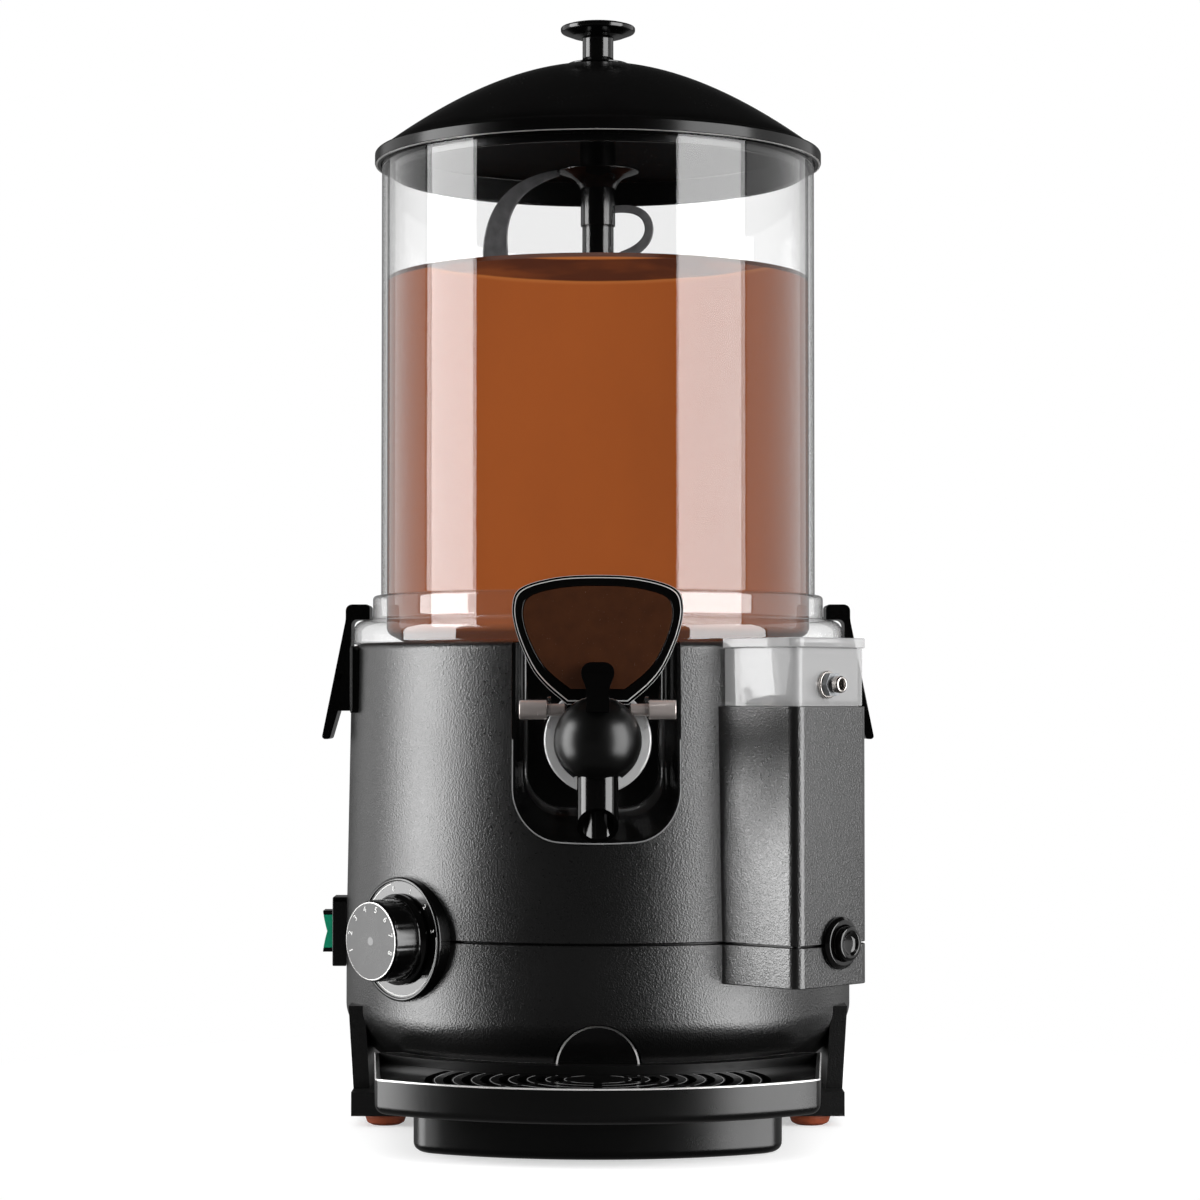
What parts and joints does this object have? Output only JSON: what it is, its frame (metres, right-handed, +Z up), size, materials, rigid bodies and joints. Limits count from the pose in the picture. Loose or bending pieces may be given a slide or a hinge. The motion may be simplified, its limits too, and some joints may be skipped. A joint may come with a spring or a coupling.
{
  "type": "hot chocolate dispenser",
  "caption": "Round hot chocolate dispenser: clear domed vessel with a stirrer on a black heated housing, a front tap with a paddle lever, a water window, a dial and a drip tray.",
  "frame": {"origin": "on the table, under the middle of the whole machine's box", "axes": "+Z up, -Y towards the user at the tap, +X to the user's right, where the water window is"},
  "size_m": [0.2934, 0.3752, 0.58],
  "materials": {
    "black_shell": "fine grain",
    "black_gloss": "polished",
    "clear_plastic": "clear",
    "steel": "brushed",
    "silicone": "matte",
    "dark_rubber": "matte",
    "brown_rubber": "matte",
    "brown_insert": "satin",
    "green_rocker": "translucent gloss",
    "grey_plastic": "satin",
    "motor_paint": "satin"
  },
  "bodies": {
    "machine": {"housing_upper": "black_shell", "housing_lower": "black_shell", "rear_vent_panel": "black_shell", "leg_right": "black_shell", "leg_left": "black_shell", "latch_bracket_right": "black_shell", "latch_bracket_left": "black_shell", "drain_collar": "black_shell", "recess_liner": "black_gloss", "tap_body": "black_gloss", "dial_bezel": "black_gloss", "switch_frame": "black_gloss", "tank": "clear_plastic", "water_window": "clear_plastic", "base_plate": "steel", "base_screw_1": "steel", "base_screw_2": "steel", "base_screw_3": "steel", "tank_floor": "steel", "heater_drum": "steel", "heating_element": "steel", "motor_bracket": "steel", "tap_spring": "steel", "tap_pin": "steel", "latch_pin_right": "steel", "latch_pin_left": "steel", "thermostat_body": "steel", "overflow_fitting": "steel", "tank_seal": "silicone", "spout_seal": "silicone", "shaft_seal": "dark_rubber", "foot_front_left": "brown_rubber", "foot_rear_left": "brown_rubber", "foot_front_right": "brown_rubber", "foot_rear_right": "brown_rubber", "cable_gland": "grey_plastic", "gearbox": "motor_paint", "motor": "motor_paint"},
    "lid": {"lid": "black_gloss", "lid_knob": "black_gloss"},
    "stirrer": {"stirrer_tube": "black_gloss", "stirrer_cone": "black_gloss", "stirrer_blades": "grey_plastic", "drive_shaft": "steel"},
    "tap_lever": {"tap_lever": "black_gloss", "lever_shield": "black_gloss", "shield_insert": "brown_insert"},
    "tap_piston": {"tap_piston": "grey_plastic", "piston_seal": "silicone"},
    "latch_right": {"latch_lever_right": "black_gloss"},
    "latch_left": {"latch_lever_left": "black_gloss"},
    "dial": {"dial_knob": "black_gloss"},
    "rocker": {"switch_rocker": "green_rocker"},
    "tray": {"drip_tray": "black_gloss"},
    "grille": {"drip_grille": "black_gloss"},
    "water_lid": {"window_lid": "clear_plastic"},
    "drain": {"drain_plug": "black_gloss"}
  },
  "joints": [
    {"name": "lid_lift", "type": "slide", "parent": "machine", "child": "lid", "axis": [0, 0, 1], "range_m": [0, 0.12]},
    {"name": "stirrer_spin", "type": "hinge", "parent": "machine", "child": "stirrer", "pos_m": [0, 0.0424, 0.2], "axis": [0, 0, 1], "continuous": true},
    {"name": "tap_push", "type": "hinge", "parent": "machine", "child": "tap_lever", "pos_m": [0, -0.1016, 0.213], "axis": [-1, 0, 0], "range_deg": [0, 18], "stiffness_Nm_per_rad": 1, "springref_deg": -8.59},
    {"name": "piston_lift", "type": "slide", "parent": "machine", "child": "tap_piston", "axis": [0, 0, 1], "range_m": [0, 0.004], "deforming": ["tap_spring"]},
    {"name": "latch_right_swing", "type": "hinge", "parent": "machine", "child": "latch_right", "pos_m": [0.1373, 0.0424, 0.23], "axis": [0, 1, 0], "range_deg": [0, 16]},
    {"name": "latch_left_swing", "type": "hinge", "parent": "machine", "child": "latch_left", "pos_m": [-0.1373, 0.0424, 0.23], "axis": [0, -1, 0], "range_deg": [0, 16]},
    {"name": "dial_turn", "type": "hinge", "parent": "machine", "child": "dial", "pos_m": [0, 0.0424, 0.097], "axis": [-0.7314, -0.682, 0], "range_deg": [0, 270]},
    {"name": "rocker_tilt", "type": "hinge", "parent": "machine", "child": "rocker", "pos_m": [-0.137, 0.0424, 0.095], "axis": [0, 1, 0], "range_deg": [-8, 8]},
    {"name": "tray_pull", "type": "slide", "parent": "machine", "child": "tray", "axis": [0, -1, 0], "range_m": [0, 0.12]},
    {"name": "grille_lift", "type": "slide", "parent": "tray", "child": "grille", "axis": [0, 0, 1], "range_m": [0, 0.03]},
    {"name": "water_lid_lift", "type": "slide", "parent": "machine", "child": "water_lid", "axis": [0, 0, 1], "range_m": [0, 0.04]},
    {"name": "drain_pull", "type": "slide", "parent": "machine", "child": "drain", "axis": [0.7314, -0.682, 0], "range_m": [0, 0.02]}
  ],
  "couplings": [
    {"joint": "piston_lift", "follows": "tap_push", "m_per_rad": 0.012}
  ]
}
